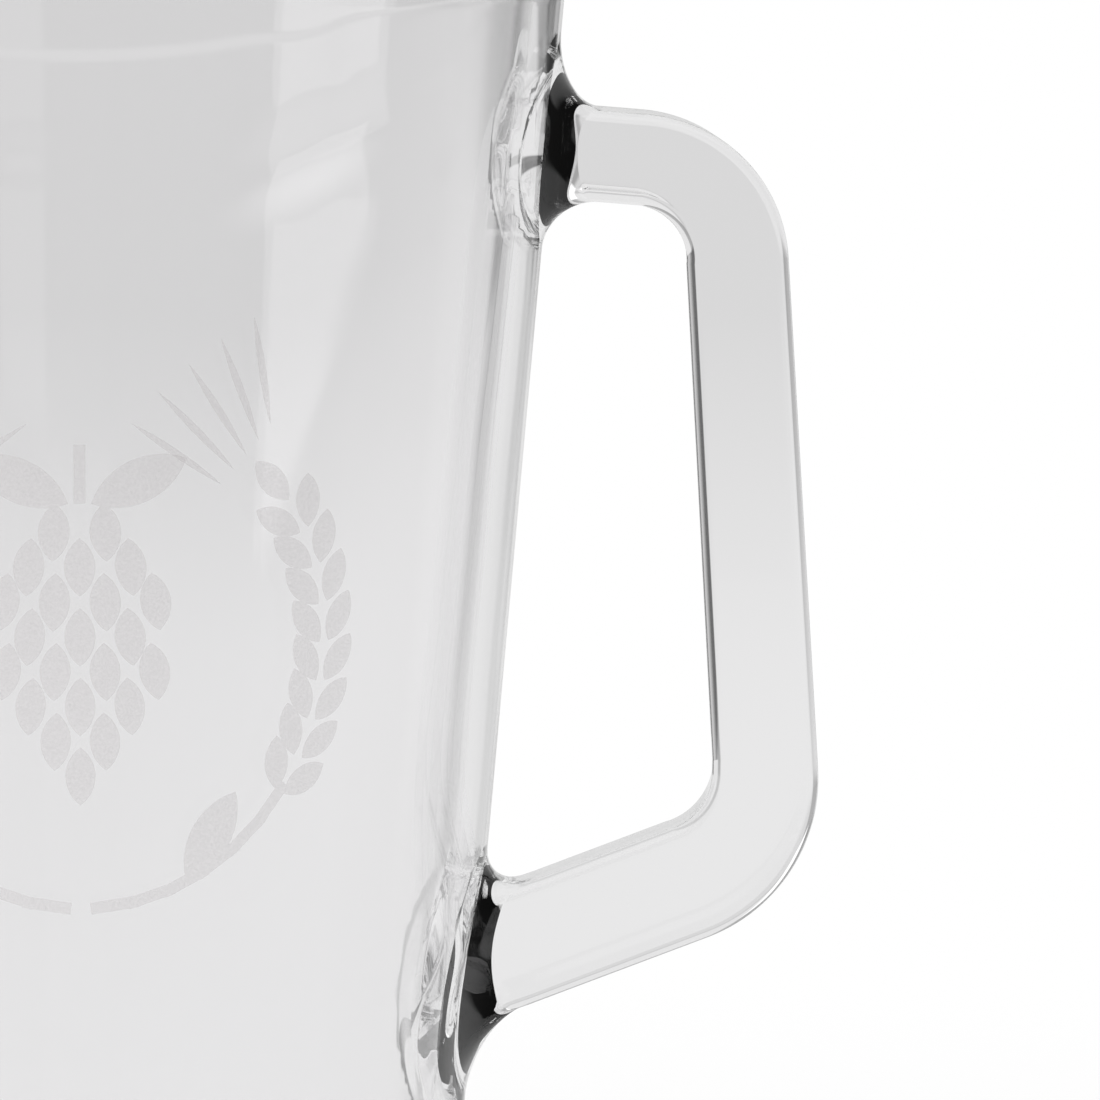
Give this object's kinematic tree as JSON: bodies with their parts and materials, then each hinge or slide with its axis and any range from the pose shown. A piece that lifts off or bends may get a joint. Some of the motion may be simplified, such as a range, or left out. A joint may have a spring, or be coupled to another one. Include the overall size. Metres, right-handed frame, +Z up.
{
  "type": "beer pitcher",
  "caption": "Clear glass beer pitcher: tapered vessel with a heavy base and pour spout, a solid D-shaped glass handle fused on by flared welds, and a frosted hop and barley print.",
  "frame": {"origin": "centre of the plane of the standing ring, on the vessel's axis", "axes": "+Z up along the vessel's axis, +X towards the handle, -X towards the spout, -Y towards the printed front"},
  "size_m": [0.1842, 0.138, 0.205],
  "materials": {
    "clear_glass": "clear, fire-polished",
    "handle_glass": "clear, pressed and fire-polished",
    "weld_glass": "clear, flame-worked",
    "frosted_print": "frosted, fired-on print"
  },
  "bodies": {
    "root": {"vessel": "clear_glass", "handle": "handle_glass", "upper_weld": "weld_glass", "lower_weld": "weld_glass", "hop_cone_print": "frosted_print", "left_barley_print": "frosted_print", "right_barley_print": "frosted_print"}
  },
  "joints": []
}
